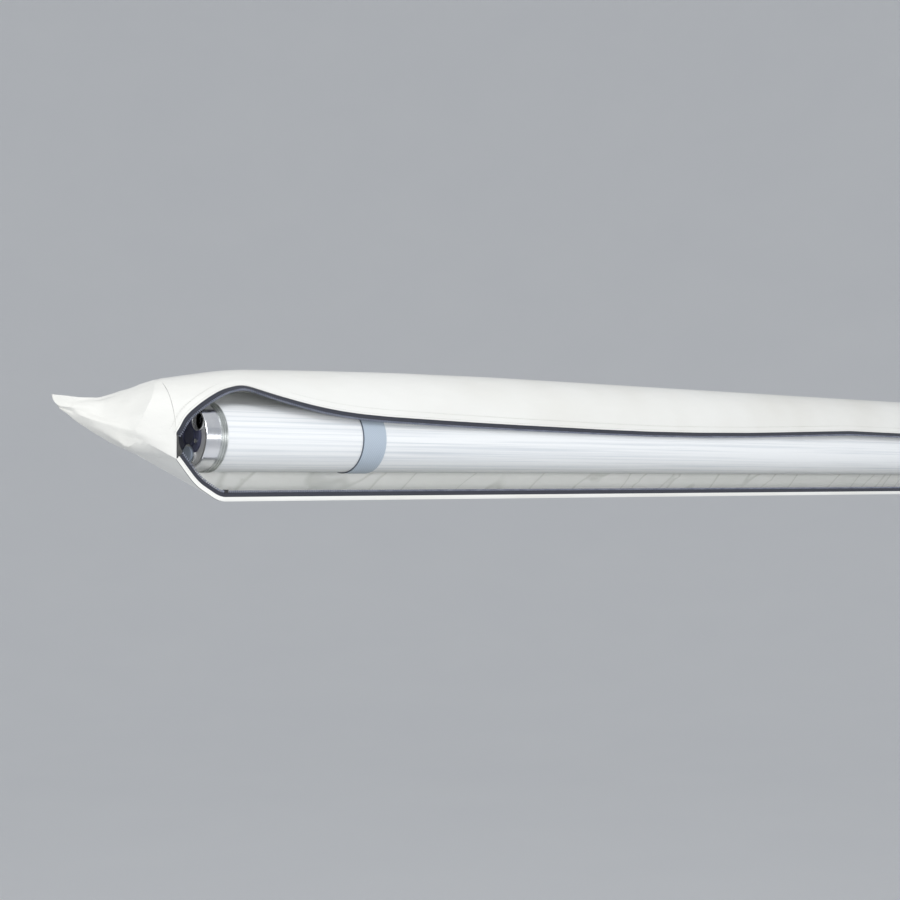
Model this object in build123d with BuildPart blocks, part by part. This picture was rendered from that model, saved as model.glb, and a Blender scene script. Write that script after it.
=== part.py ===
# Roll out bag awning: a cloth bag on a keder bead, with the canopy rolled on a tube inside it.
# Millimetres. X runs along the awning, the front faces -Y and Z is up.
# The origin is the middle of the keder bead, half way along the bag.
import os
from math import acos, asin, atan2, cos, degrees, pi, radians, sin, sqrt

from build123d import *

os.makedirs("parts", exist_ok=True)

# Driving sizes of the bag, with heights taken from the roller axis and depths from the wall
mouth_length = 2290.0
tail_length = 115.0
ridge_height = 88.0
seam_height = 74.0
bag_drop = 73.0
bag_depth = 94.0
mouth_end_depth = 80.0
ridge_depth = 38.0
curve_start = 18.0
lip_width = 6.0
cloth = 1.2
corner_run = 51.0
corner_rise = 37.0

# Driving sizes of the keder and the zip
bead_radius = 3.75
bead_height = 84.0
bead_inset = 0.25
keder_margin = 55.0
keder_tape = 1.0
zip_band = 4.1
zip_tape = 0.8
coil_width = 2.4
coil_depth = 2.6

# Driving sizes of the roller
axis_depth = 52.0
roller_margin = 32.0
tube_radius = 35.8
tube_wall = 1.6
wound_cloth = 4.2
collar_wall = 3.7
collar_chamfer = 0.74
collar_length = 20.0
flange_rise = 5.0
flange_length = 8.0
flange_groove = 0.7
groove_width = 0.9
plate_recess = 6.0
plate_thickness = 3.0
canopy_cloth = 0.9
canopy_bead_radius = 3.0
groove_wall = 2.0
groove_mouth = 2.0
strap_width = 36.0
strap_thickness = 0.9
strap_lap = 50.0
strap_lap_height = 25.0
strap_start = 224.0

# Driving sizes of the legs and rafters kept inside the roller
pole_radius = 10.5
pole_wall = 1.8
inner_wall = 1.2
leg_angle = 131.5
leg_gap = 0.32
rafter_angle = -84.3
rafter_gap = 3.6
leg_recess = 13.0
foot_recess = 2.0
foot_length = 6.0
stem_length = 14.0
rafter_recess = 3.0
plug_proud = 2.0
pole_middle_gap = 240.0
inner_short = 20.0
ferrule_wall = 1.0
ferrule_proud = 1.2
hub_radius = 20.5
hub_proud = 3.6
hub_ring_radius = 12.0
hub_ring_width = 2.0
hub_ring_proud = 1.2
guide_length = 12.0
guide_places = (74.0, 560.0)
screw_head_radius = 2.6
screw_head_height = 1.4
screw_circle_radius = 16.0
screw_angles = (10.0, 80.0, 200.0)

# Driving sizes of the zip slider
slider_length = 15.0
slider_wall = 1.1
slider_gap = 0.4
slider_corner = 1.5
slider_end = 34.0
lug_gap = 5.0
lug_width = 1.2
lug_radius = 1.7
lug_reach = 3.6
pin_radius = 0.8
puller_length = 27.0
puller_thickness = 1.6
puller_hole_share = 0.3
stop_length = 5.0
stop_wall = 0.7
stop_inset = 8.0

# Clearances and overruns
running = 0.08
soft_gap = 0.3
fit_gap = 0.1
overrun = 2.0

# Places worked out from the driving sizes
wall_y = bead_radius + bead_inset
axis_y = wall_y - axis_depth
axis_z = -bead_height
mouth_half = mouth_length / 2
corner_x = mouth_half - corner_run
corner_height = corner_rise - bag_drop
face_x = mouth_half - roller_margin
bore_radius = tube_radius - tube_wall
roll_radius = tube_radius + wound_cloth
collar_radius = tube_radius + collar_wall
flange_radius = tube_radius + flange_rise
leg_offset = bore_radius - pole_radius - leg_gap
rafter_offset = bore_radius - pole_radius - rafter_gap
pole_length = face_x - leg_recess - pole_middle_gap / 2
inner_length = pole_length - inner_short
fabric_x = face_x - collar_length - flange_length

# Droop of the bag towards its ends: share of the mouth's half length, share of the ridge height
droop_shares = [(0.0, 0.0), (0.70, 0.0), (0.915, -0.11), (1.0, -0.285)]

# Upper edge of the mouth: share of the mouth's half length, share of the ridge height
edge_shares = [
    (-1.0, 0.03),
    (-0.991, 0.28),
    (-0.981, 0.44),
    (-0.962, 0.58),
    (-0.942, 0.645),
    (-0.921, 0.665),
    (-0.891, 0.60),
    (-0.859, 0.51),
    (-0.807, 0.415),
    (-0.725, 0.355),
    (-0.606, 0.315),
    (-0.475, 0.27),
    (-0.331, 0.265),
    (-0.17, 0.295),
    (0.01, 0.34),
    (0.21, 0.38),
    (0.40, 0.365),
    (0.60, 0.33),
    (0.75, 0.36),
    (0.859, 0.51),
    (0.891, 0.60),
    (0.921, 0.665),
    (0.942, 0.645),
    (0.962, 0.58),
    (0.981, 0.44),
    (0.991, 0.28),
    (1.0, 0.03),
]


def front(depth):
    """Y of a place that far in front of the wall."""
    return wall_y - depth


def level(height):
    """Z of a place that far above the roller axis."""
    return axis_z + height


def across(x):
    """Section plane square to the awning, drawn in Y and Z."""
    return Plane(origin=(x, 0, 0), x_dir=(0, 1, 0), z_dir=(1, 0, 0))


def elevation(depth):
    """Plane seen from the front, drawn in X and Z, whose extrusions come forward."""
    return Plane(origin=(0, front(depth), 0), x_dir=(1, 0, 0), z_dir=(0, -1, 0))


def write(piece, name):
    """Labels a finished piece and writes it."""
    piece.part.label = name
    export_step(piece.part, f"parts/{name}.step")


def between(table, place):
    """Value of a table at a place, on the straight line between its two neighbours."""
    for (x0, v0), (x1, v1) in zip(table, table[1:]):
        if place <= x1:
            return v0 + (v1 - v0) * (place - x0) / (x1 - x0)
    return table[-1][1]


def droop(x):
    """How far the bag hangs down at a place along it."""
    return ridge_height * between(droop_shares, abs(x) / mouth_half)


def mouth_depth(x):
    """Depth of the bag, which narrows over the mouth's last corner."""
    narrowing = max(0, abs(x) - corner_x) / corner_run
    return bag_depth - (bag_depth - mouth_end_depth) * narrowing


def upper_edge(x):
    """Height of the flap's lower edge."""
    return ridge_height * between(edge_shares, x / mouth_half)


def bottom_edge(x):
    """Height of the bag's underside, which rises over the slanted corners."""
    return corner_rise * max(0, abs(x) - corner_x) / corner_run - bag_drop


def cover_point(x, height, under):
    """Y and Z of a point under the cover's outer face, at a height on its front curve."""
    top = ridge_height + droop(x)
    start = curve_start + droop(x)
    rise = top - start
    lean = asin(min(1, max(0, (height - start) / rise)))
    depth = ridge_depth + (mouth_depth(x) - ridge_depth) * cos(lean)
    return front(depth - under * cos(lean)), level(height - under * sin(lean))


def cover_middle(x, height, under):
    """Point half way round the cover's front curve, between the ridge and a height."""
    top = ridge_height + droop(x)
    start = curve_start + droop(x)
    rise = top - start
    low = asin(min(1, max(0, (height - start) / rise)))
    lean = (pi / 2 + low) / 2
    depth = ridge_depth + (mouth_depth(x) - ridge_depth) * cos(lean)
    return front(depth - under * cos(lean)), level(start + rise * sin(lean) - under * sin(lean))


def quad(x, corners):
    """Four sided section at one station."""
    with BuildSketch(across(x)) as section:
        with BuildLine():
            Polyline(*corners, close=True)
        make_face()
    return section.sketch.face()


def flap_section(x):
    """Section of the flap from the wall seam over the ridge to the mouth's edge."""
    sag = droop(x)
    edge = upper_edge(x)
    seam_out = (front(0), level(seam_height + sag))
    seam_in = (front(0), level(seam_height + sag - cloth))
    ridge_out = (front(ridge_depth), level(ridge_height + sag))
    ridge_in = (front(ridge_depth), level(ridge_height + sag - cloth))
    with BuildSketch(across(x)) as section:
        with BuildLine():
            Line(seam_out, ridge_out)
            ThreePointArc(ridge_out, cover_middle(x, edge, 0), cover_point(x, edge, 0))
            Line(cover_point(x, edge, 0), cover_point(x, edge, cloth))
            ThreePointArc(cover_point(x, edge, cloth), cover_middle(x, edge, cloth), ridge_in)
            Line(ridge_in, seam_in)
            Line(seam_in, seam_out)
        make_face()
    return section.sketch.face()


def band_section(x, high, low, near, far):
    """Section of a strip of the cover's front between two heights and two depths under it."""
    return quad(
        x,
        [
            cover_point(x, high, near),
            cover_point(x, low, near),
            cover_point(x, low, far),
            cover_point(x, high, far),
        ],
    )


droop_places = [side * mouth_half * share for share, fall in droop_shares[1:-1] for side in (-1, 1)]
edge_places = sorted([mouth_half * share for share, edge_share in edge_shares] + droop_places)
floor_places = [-mouth_half, -corner_x, corner_x, mouth_half]
coil_near = cloth + zip_tape / 2 - coil_depth / 2
coil_far = coil_near + coil_depth
edge_step_share = 0.004


def steepness(x):
    """How much taller a band of even width stands where the mouth's upper edge is steep."""
    step = mouth_half * edge_step_share
    ahead = min(x + step, mouth_half)
    behind = max(x - step, -mouth_half)
    slope = (upper_edge(ahead) - upper_edge(behind)) / (ahead - behind)
    return sqrt(1 + slope * slope)


corner_steepness = sqrt(1 + (corner_rise / corner_run) ** 2)


def lower_steepness(x):
    """The same for the slanted corners of the lip."""
    return corner_steepness if abs(x) > corner_x else 1.0


# The flap: cloth from the wall seam over the ridge to the mouth's wavy edge
with BuildPart() as flap:
    add(loft([flap_section(x) for x in edge_places], ruled=True))
write(flap, "flap")

# Upper zip: tape behind the flap's edge, and the coil along the tape's free edge
with BuildPart() as upper_zip_tape:
    sections = []
    for x in edge_places:
        edge = upper_edge(x)
        low = edge - zip_band * steepness(x)
        sections.append(band_section(x, edge, low, cloth, cloth + zip_tape))
    add(loft(sections, ruled=True))
write(upper_zip_tape, "upper_zip_tape")

with BuildPart() as upper_zip_coil:
    sections = []
    for x in edge_places:
        high = upper_edge(x) - zip_band * steepness(x)
        low = high - coil_width * steepness(x)
        sections.append(band_section(x, high, low, coil_near, coil_far))
    add(loft(sections, ruled=True))
write(upper_zip_coil, "upper_zip_coil")

# Lip: the strip of cloth below the mouth, with its slanted corners as pieces of their own
lip_runs = {
    "lip": (-corner_x, corner_x),
    "lip_corner_left": (-mouth_half, -corner_x),
    "lip_corner_right": (corner_x, mouth_half),
}
for name, run in lip_runs.items():
    with BuildPart() as lip:
        sections = []
        for x in run:
            low = bottom_edge(x)
            sections.append(band_section(x, low + lip_width, low, 0, cloth))
        add(loft(sections, ruled=True))
    write(lip, name)

# Lower zip: the same tape and coil along the lip and up its corners
with BuildPart() as lower_zip_tape:
    sections = []
    for x in floor_places:
        low = bottom_edge(x) + lip_width
        high = low + zip_band * lower_steepness(x)
        sections.append(band_section(x, high, low, cloth, cloth + zip_tape))
    add(loft(sections, ruled=True))
write(lower_zip_tape, "lower_zip_tape")

with BuildPart() as lower_zip_coil:
    sections = []
    for x in floor_places:
        low = bottom_edge(x) + lip_width + zip_band * lower_steepness(x)
        high = low + coil_width * lower_steepness(x)
        sections.append(band_section(x, high, low, coil_near, coil_far))
    add(loft(sections, ruled=True))
write(lower_zip_coil, "lower_zip_coil")

# Back panel: the flat cloth against the wall
with BuildPart() as back_panel:
    with BuildSketch(elevation(0)):
        with BuildLine():
            upper = [
                (mouth_half * share, level(seam_height + ridge_height * fall - cloth))
                for share, fall in droop_shares[1:]
            ]
            lower = [(mouth_half, level(corner_height)), (corner_x, level(-bag_drop))]
            right = upper + lower
            left = [(-x, z) for x, z in reversed(right)]
            Polyline(*right, *left, close=True)
        make_face()
    extrude(amount=cloth)
write(back_panel, "back_panel")

# Floor of the bag and the two slanted ends of the floor
floor_runs = {
    "floor_panel": (-corner_x, corner_x),
    "floor_corner_left": (-mouth_half, -corner_x),
    "floor_corner_right": (corner_x, mouth_half),
}
for name, run in floor_runs.items():
    with BuildPart() as floor_piece:
        sections = []
        for x in run:
            low = bottom_edge(x)
            fore = front(mouth_depth(x) - cloth)
            rear = front(cloth)
            high = level(low + cloth)
            sections.append(quad(x, [(rear, level(low)), (fore, level(low)), (fore, high), (rear, high)]))
        add(loft(sections, ruled=True))
    write(floor_piece, name)

# Fish tails: the bag's closed ends, folding down to a flat tip
# Stations as shares of the tail's length, then six corners as shares of the depth and of the
# ridge height: back bottom, bottom, front bottom, front top, ridge and back top
tail_shares = [
    (0.0, [(0.0, 0.0), (0.48, 0.0), (1.0, 0.03), (1.0, 0.55), (0.475, 1.0), (0.0, 0.86)]),
    (0.36, [(0.0, 0.22), (0.38, 0.19), (0.64, 0.30), (0.70, 0.58), (0.36, 0.86), (0.0, 0.80)]),
    (0.68, [(0.0, 0.46), (0.20, 0.42), (0.32, 0.50), (0.34, 0.64), (0.20, 0.79), (0.0, 0.79)]),
    (1.0, [(0.0, 0.69), (0.03, 0.68), (0.055, 0.70), (0.055, 0.75), (0.03, 0.80), (0.0, 0.79)]),
]
tail_low = corner_height
tail_high = ridge_height * (1 + droop_shares[-1][1])


def tail_section(side, station, corners, inset):
    """Closed section of a tail, drawn in by an inset."""
    height = tail_high - tail_low
    points = [(mouth_end_depth * d, tail_low + height * h) for d, h in corners]
    middle_d = sum(d for d, h in points) / len(points)
    middle_h = sum(h for d, h in points) / len(points)
    drawn = []
    for d, h in points:
        away = sqrt((d - middle_d) ** 2 + (h - middle_h) ** 2)
        keep = 1 - inset / away
        drawn.append((front(middle_d + (d - middle_d) * keep), level(middle_h + (h - middle_h) * keep)))
    return quad(side * (mouth_half + tail_length * station), drawn)


def tail_shell(side):
    """Hollow tail: the outer folds less the same folds drawn in by the cloth."""
    outer = [tail_section(side, station, corners, 0) for station, corners in tail_shares]
    inner = [tail_section(side, station, corners, cloth * diagonal_fit) for station, corners in tail_shares[:3]]
    return loft(outer, ruled=True), loft(inner, ruled=True)


diagonal_fit = sqrt(2)
for name, side in {"tail_left": -1, "tail_right": 1}.items():
    outer_folds, inner_folds = tail_shell(side)
    with BuildPart() as tail:
        add(outer_folds)
        add(inner_folds, mode=Mode.SUBTRACT)
    write(tail, name)

# Keder bead on its tape: straight where it runs in a rail, and drooping with the bag's ends
keder_end = mouth_half - keder_margin
keder_places = sorted([-keder_end, keder_end] + droop_places)
strip_rise = keder_tape * (ridge_height - seam_height) / ridge_depth
with BuildPart() as keder_bead:
    rings = []
    for x in keder_places:
        with BuildSketch(across(x)) as ring:
            with Locations((0, droop(x))):
                Circle(bead_radius)
        rings.append(ring.sketch.face())
    add(loft(rings, ruled=True))
write(keder_bead, "keder_bead")

with BuildPart() as keder_strip:
    sections = []
    for x in keder_places:
        head = droop(x) - bead_radius
        foot = level(seam_height) + droop(x)
        rear_head = (keder_tape / 2, head)
        fore_head = (-keder_tape / 2, head)
        rear_foot = (front(0), foot)
        fore_foot = (front(keder_tape), foot + strip_rise)
        sections.append(quad(x, [fore_head, rear_head, rear_foot, fore_foot]))
    add(loft(sections, ruled=True))
write(keder_strip, "keder_strip")

# Roller tube with the groove that holds the canopy's bead
groove_angle = 45.0
groove_radius = canopy_bead_radius + fit_gap
groove_centre = tube_radius - groove_radius - groove_wall
groove_y = axis_y + groove_centre * cos(radians(groove_angle))
groove_z = axis_z + groove_centre * sin(radians(groove_angle))
tube_x = face_x - plate_recess - plate_thickness
with BuildPart() as roller_tube:
    with BuildSketch(across(-tube_x)):
        with Locations((axis_y, axis_z)):
            Circle(tube_radius)
            Circle(bore_radius, mode=Mode.SUBTRACT)
        with BuildSketch(mode=Mode.PRIVATE) as boss:
            with Locations((groove_y, groove_z)):
                Circle(groove_radius + groove_wall)
        add(boss.sketch)
        with Locations((groove_y, groove_z)):
            Circle(groove_radius, mode=Mode.SUBTRACT)
        with Locations(Location((groove_y, groove_z), groove_angle)):
            Rectangle(
                tube_radius - groove_centre + overrun,
                groove_mouth,
                align=(Align.MIN, Align.CENTER),
                mode=Mode.SUBTRACT,
            )
    extrude(amount=2 * tube_x)
write(roller_tube, "roller_tube")

with BuildPart() as canopy_bead:
    with BuildSketch(across(-fabric_x)):
        with Locations((groove_y, groove_z)):
            Circle(canopy_bead_radius)
    extrude(amount=2 * fabric_x)
write(canopy_bead, "canopy_bead")

# The canopy: its wound part on the tube, and the web that runs from the roll to the wall seam
with BuildPart() as canopy_roll:
    with BuildSketch(across(-fabric_x)):
        with Locations((axis_y, axis_z)):
            Circle(roll_radius)
            Circle(tube_radius, mode=Mode.SUBTRACT)
    extrude(amount=2 * fabric_x)
write(canopy_roll, "canopy_roll")

web_depth = cloth + soft_gap
web_height = seam_height + droop(fabric_x) - cloth - 2 * soft_gap - canopy_cloth
web_run = axis_depth - web_depth
web_reach = sqrt(web_run**2 + web_height**2)
web_low_radius = roll_radius + soft_gap
touch_angle = atan2(web_height, web_run) + acos(web_low_radius / web_reach)


def on_roll(radius):
    """Y and Z of the place where the web meets the roll."""
    return axis_y + radius * cos(touch_angle), axis_z + radius * sin(touch_angle)


with BuildPart() as canopy_web:
    web_top = web_low_radius + canopy_cloth
    rise_y = canopy_cloth * cos(touch_angle)
    rise_z = canopy_cloth * sin(touch_angle)
    with BuildSketch(across(-fabric_x)):
        with BuildLine():
            Polyline(
                (front(web_depth), level(web_height)),
                on_roll(web_low_radius),
                on_roll(web_top),
                (front(web_depth) + rise_y, level(web_height) + rise_z),
                close=True,
            )
        make_face()
    extrude(amount=2 * fabric_x)
write(canopy_web, "canopy_web")


def end_plane(side, inside):
    """Section plane a distance inside one end face, whose extrusions go towards the middle."""
    x = side * (face_x - inside)
    return Plane(origin=(x, 0, 0), x_dir=(0, 1, 0), z_dir=(-side, 0, 0))


def local(side, y, z):
    """A place in Y and Z as that plane's own coordinates."""
    return (y, z if side < 0 else -z)


# Sector left out of each strap where the web leaves the roll
strap_behind = degrees(touch_angle - acos(web_low_radius / (roll_radius + strap_thickness + soft_gap)))
strap_ahead = degrees(touch_angle + 2 * soft_gap / roll_radius)
sector_reach = 2 * roll_radius


def strap_sector(side):
    """Corners of the sector, from the roller axis outwards."""
    corners = [local(side, axis_y, axis_z)]
    for angle in (strap_behind, strap_ahead):
        away_y = axis_y + sector_reach * cos(radians(angle))
        away_z = axis_z + sector_reach * sin(radians(angle))
        corners.append(local(side, away_y, away_z))
    return corners


# Ends of the roller, made once for each side
flange_groove_shares = (0.25, 0.65)
pole_bore = pole_radius - pole_wall
inner_radius = pole_bore - running
ferrule_bore = pole_radius + running
ferrule_radius = ferrule_bore + ferrule_wall
pole_places = {
    "leg": (
        axis_y + leg_offset * cos(radians(leg_angle)),
        axis_z + leg_offset * sin(radians(leg_angle)),
    ),
    "rafter": (
        axis_y + rafter_offset * cos(radians(rafter_angle)),
        axis_z + rafter_offset * sin(radians(rafter_angle)),
    ),
}


for name, side in {"left": -1, "right": 1}.items():
    middle = local(side, axis_y, axis_z)
    leg_place = local(side, *pole_places["leg"])
    rafter_place = local(side, *pole_places["rafter"])
    groove_place = local(side, groove_y, groove_z)

    # Polished collar over the tube's end, and the flange that guides the cloth's edge
    with BuildPart() as collar:
        with BuildSketch(end_plane(side, 0)):
            with Locations(middle):
                Circle(collar_radius)
                Circle(tube_radius, mode=Mode.SUBTRACT)
        extrude(amount=collar_length)
        rim = collar.edges().filter_by(GeomType.CIRCLE).group_by(Axis.X)[0 if side < 0 else -1]
        chamfer(rim, collar_chamfer)
    write(collar, f"collar_{name}")

    with BuildPart() as flange:
        with BuildSketch(end_plane(side, collar_length)):
            with Locations(middle):
                Circle(flange_radius)
                Circle(tube_radius, mode=Mode.SUBTRACT)
        extrude(amount=flange_length)
        for share in flange_groove_shares:
            with BuildSketch(end_plane(side, collar_length + flange_length * share)):
                with Locations(middle):
                    Circle(flange_radius + overrun)
                    Circle(flange_radius - flange_groove, mode=Mode.SUBTRACT)
            extrude(amount=groove_width, mode=Mode.SUBTRACT)
    write(flange, f"flange_{name}")

    # Recessed end plate with its two round ports
    with BuildPart() as end_plate:
        with BuildSketch(end_plane(side, plate_recess)):
            with Locations(middle):
                Circle(tube_radius - fit_gap)
            with Locations(leg_place, rafter_place):
                Circle(ferrule_radius, mode=Mode.SUBTRACT)
        extrude(amount=plate_thickness)
    write(end_plate, f"end_plate_{name}")

    with BuildPart() as ferrules:
        with BuildSketch(end_plane(side, plate_recess - ferrule_proud)):
            with Locations(leg_place, rafter_place):
                Circle(ferrule_radius)
                Circle(ferrule_bore, mode=Mode.SUBTRACT)
        extrude(amount=plate_thickness + ferrule_proud)
    write(ferrules, f"ferrules_{name}")

    # Moulded hub between the ports, with its raised ring and three screws
    with BuildPart() as hub:
        with BuildSketch(end_plane(side, plate_recess - hub_proud)):
            with Locations(middle):
                Circle(hub_radius)
            with Locations(leg_place, rafter_place):
                Circle(ferrule_radius + fit_gap, mode=Mode.SUBTRACT)
        extrude(amount=hub_proud)
        with BuildSketch(end_plane(side, plate_recess - hub_proud - hub_ring_proud)):
            with Locations(middle):
                Circle(hub_ring_radius)
                Circle(hub_ring_radius - hub_ring_width, mode=Mode.SUBTRACT)
            with Locations(leg_place, rafter_place):
                Circle(ferrule_radius + fit_gap, mode=Mode.SUBTRACT)
        extrude(amount=hub_ring_proud)
    write(hub, f"end_hub_{name}")

    screw_spots = []
    for angle in screw_angles:
        away_y = screw_circle_radius * cos(radians(angle))
        away_z = screw_circle_radius * sin(radians(angle))
        screw_spots.append(local(side, axis_y + away_y, axis_z + away_z))
    with BuildPart() as screws:
        with BuildSketch(end_plane(side, plate_recess - hub_proud - screw_head_height)):
            with Locations(*screw_spots):
                Circle(screw_head_radius)
        extrude(amount=screw_head_height)
    write(screws, f"hub_screws_{name}")

    # Two guides inside the tube that the poles slide through
    with BuildPart() as guides:
        for place in guide_places:
            with BuildSketch(end_plane(side, place)):
                with Locations(middle):
                    Circle(bore_radius - fit_gap)
                with Locations(leg_place, rafter_place):
                    Circle(ferrule_bore, mode=Mode.SUBTRACT)
                with Locations(groove_place):
                    Circle(groove_radius + groove_wall + fit_gap, mode=Mode.SUBTRACT)
            extrude(amount=guide_length)
    write(guides, f"pole_guides_{name}")

    # Holding strap wrapped round the roll, its end lapped at the back
    with BuildPart() as strap:
        with BuildSketch(end_plane(side, strap_start)):
            with Locations(middle):
                Circle(roll_radius + strap_thickness)
                Circle(roll_radius + fit_gap, mode=Mode.SUBTRACT)
            with BuildLine():
                Polyline(*strap_sector(side), close=True)
            make_face(mode=Mode.SUBTRACT)
        extrude(amount=strap_width)
        with BuildSketch(end_plane(side, strap_start)):
            with BuildSketch(mode=Mode.PRIVATE) as lap:
                with Locations(middle):
                    Circle(roll_radius + 2 * strap_thickness)
                    Circle(roll_radius + strap_thickness, mode=Mode.SUBTRACT)
            with BuildSketch(mode=Mode.PRIVATE) as window:
                with Locations(local(side, axis_y, axis_z - roll_radius)):
                    Rectangle(strap_lap, strap_lap_height, align=(Align.MIN, Align.CENTER))
            add(lap.sketch)
            add(window.sketch, mode=Mode.INTERSECT)
        extrude(amount=strap_width)
    write(strap, f"strap_{name}")

    # Leg: outer tube, inner tube and the foot plugged into its end
    with BuildPart() as leg_tube:
        with BuildSketch(end_plane(side, leg_recess)):
            with Locations(leg_place):
                Circle(pole_radius)
                Circle(pole_bore, mode=Mode.SUBTRACT)
        extrude(amount=pole_length)
    write(leg_tube, f"leg_tube_{name}")

    foot_inside = leg_recess + foot_recess
    with BuildPart() as leg_inner:
        with BuildSketch(end_plane(side, foot_inside + foot_length)):
            with Locations(leg_place):
                Circle(inner_radius)
                Circle(inner_radius - inner_wall, mode=Mode.SUBTRACT)
        extrude(amount=inner_length)
    write(leg_inner, f"leg_inner_{name}")

    with BuildPart() as leg_foot:
        with BuildSketch(end_plane(side, foot_inside)):
            with Locations(leg_place):
                Circle(inner_radius)
        extrude(amount=foot_length)
        with BuildSketch(end_plane(side, foot_inside + foot_length)):
            with Locations(leg_place):
                Circle(inner_radius - inner_wall)
        extrude(amount=stem_length)
    write(leg_foot, f"leg_foot_{name}")

    # Rafter: the same pair of tubes with a plug in the visible end
    with BuildPart() as rafter_tube:
        with BuildSketch(end_plane(side, rafter_recess)):
            with Locations(rafter_place):
                Circle(pole_radius)
                Circle(pole_bore, mode=Mode.SUBTRACT)
        extrude(amount=pole_length)
    write(rafter_tube, f"rafter_tube_{name}")

    plug_inside = rafter_recess - plug_proud
    with BuildPart() as rafter_inner:
        with BuildSketch(end_plane(side, plug_inside + foot_length)):
            with Locations(rafter_place):
                Circle(inner_radius)
                Circle(inner_radius - inner_wall, mode=Mode.SUBTRACT)
        extrude(amount=inner_length)
    write(rafter_inner, f"rafter_inner_{name}")

    with BuildPart() as rafter_plug:
        with BuildSketch(end_plane(side, plug_inside)):
            with Locations(rafter_place):
                Circle(inner_radius)
        extrude(amount=foot_length)
        with BuildSketch(end_plane(side, plug_inside + foot_length)):
            with Locations(rafter_place):
                Circle(inner_radius - inner_wall)
        extrude(amount=stem_length)
    write(rafter_plug, f"rafter_plug_{name}")

# Zip slider, parked at the right end of the lip, with its puller on a pin
slider_x = corner_x - slider_end
coil_height = lip_width - bag_drop + zip_band + coil_width / 2
slider_tall = coil_width + 2 * slider_gap + 2 * slider_wall
slider_near = coil_near - slider_gap - slider_wall
slider_deep = coil_depth + 2 * slider_gap + 2 * slider_wall
slider_face = bag_depth - slider_near
pin_depth = slider_face + lug_reach - lug_radius


def slider_plane(depth):
    """Plane seen from the front, centred on the parked slider and the coil."""
    return Plane(
        origin=(slider_x, front(depth), level(coil_height)), x_dir=(1, 0, 0), z_dir=(0, -1, 0)
    )


def slider_section(x):
    """Plane across the slider, drawn in Y and Z from the coil's middle."""
    coil_middle = bag_depth - coil_near - coil_depth / 2
    return Plane(
        origin=(x, front(coil_middle), level(coil_height)), x_dir=(0, 1, 0), z_dir=(1, 0, 0)
    )


with BuildPart() as zip_slider:
    with BuildSketch(slider_plane(slider_face - slider_deep)):
        RectangleRounded(slider_length, slider_tall, slider_corner)
    extrude(amount=slider_deep)
    with BuildSketch(slider_section(slider_x - slider_length / 2 - overrun)):
        Rectangle(coil_depth + 2 * slider_gap, coil_width + 2 * slider_gap)
        with Locations((0, -slider_tall / 2)):
            Rectangle(zip_tape + 2 * slider_gap, slider_tall)
    extrude(amount=slider_length + 2 * overrun, mode=Mode.SUBTRACT)
    with BuildSketch(slider_plane(slider_face)):
        with Locations((0, lug_gap / 2 + lug_width / 2), (0, -lug_gap / 2 - lug_width / 2)):
            Rectangle(2 * lug_radius, lug_width)
    extrude(amount=lug_reach)
    with BuildSketch(
        Plane(origin=(slider_x, front(pin_depth), level(coil_height) - slider_tall), z_dir=(0, 0, 1))
    ):
        Circle(pin_radius + fit_gap)
    extrude(amount=2 * slider_tall, mode=Mode.SUBTRACT)
write(zip_slider, "zip_slider")

pin_length = lug_gap + 2 * lug_width
pin_bottom = level(coil_height) - pin_length / 2
with BuildPart() as slider_pin:
    with BuildSketch(Plane(origin=(slider_x, front(pin_depth), pin_bottom), z_dir=(0, 0, 1))):
        Circle(pin_radius)
    extrude(amount=pin_length)
write(slider_pin, "slider_pin")

eye_radius = lug_radius - fit_gap
puller_tall = lug_gap - 2 * fit_gap
puller_bottom = level(coil_height) - puller_tall / 2
with BuildPart() as zip_puller:
    with BuildSketch(Plane(origin=(slider_x, front(pin_depth), puller_bottom), z_dir=(0, 0, 1))):
        Circle(eye_radius)
        Rectangle(puller_length, puller_thickness, align=(Align.MIN, Align.CENTER))
        Circle(pin_radius + fit_gap, mode=Mode.SUBTRACT)
    extrude(amount=puller_tall)
    hole_x = slider_x + puller_length - puller_tall / 2
    with BuildSketch(elevation(pin_depth - puller_thickness)):
        with Locations((hole_x, level(coil_height))):
            Circle(puller_tall * puller_hole_share)
    extrude(amount=2 * puller_thickness, mode=Mode.SUBTRACT)
write(zip_puller, "zip_puller")

# Metal stops crimped over the coil at both ends of the slider's run
with BuildPart() as zip_stops:
    for side in (-1, 1):
        inner_x = side * (corner_x - stop_inset)
        start = inner_x if side > 0 else inner_x - stop_length
        with BuildSketch(slider_section(start)):
            Rectangle(coil_depth + 2 * stop_wall, coil_width + 2 * stop_wall)
            Rectangle(coil_depth, coil_width, mode=Mode.SUBTRACT)
            with Locations((0, -coil_width)):
                Rectangle(zip_tape, 2 * coil_width, mode=Mode.SUBTRACT)
        extrude(amount=stop_length)
write(zip_stops, "zip_stops")
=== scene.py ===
from math import acos, asin, atan2, cos, pi, radians, sin, sqrt

import bpy
from mathutils import Matrix, Vector, noise


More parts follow.
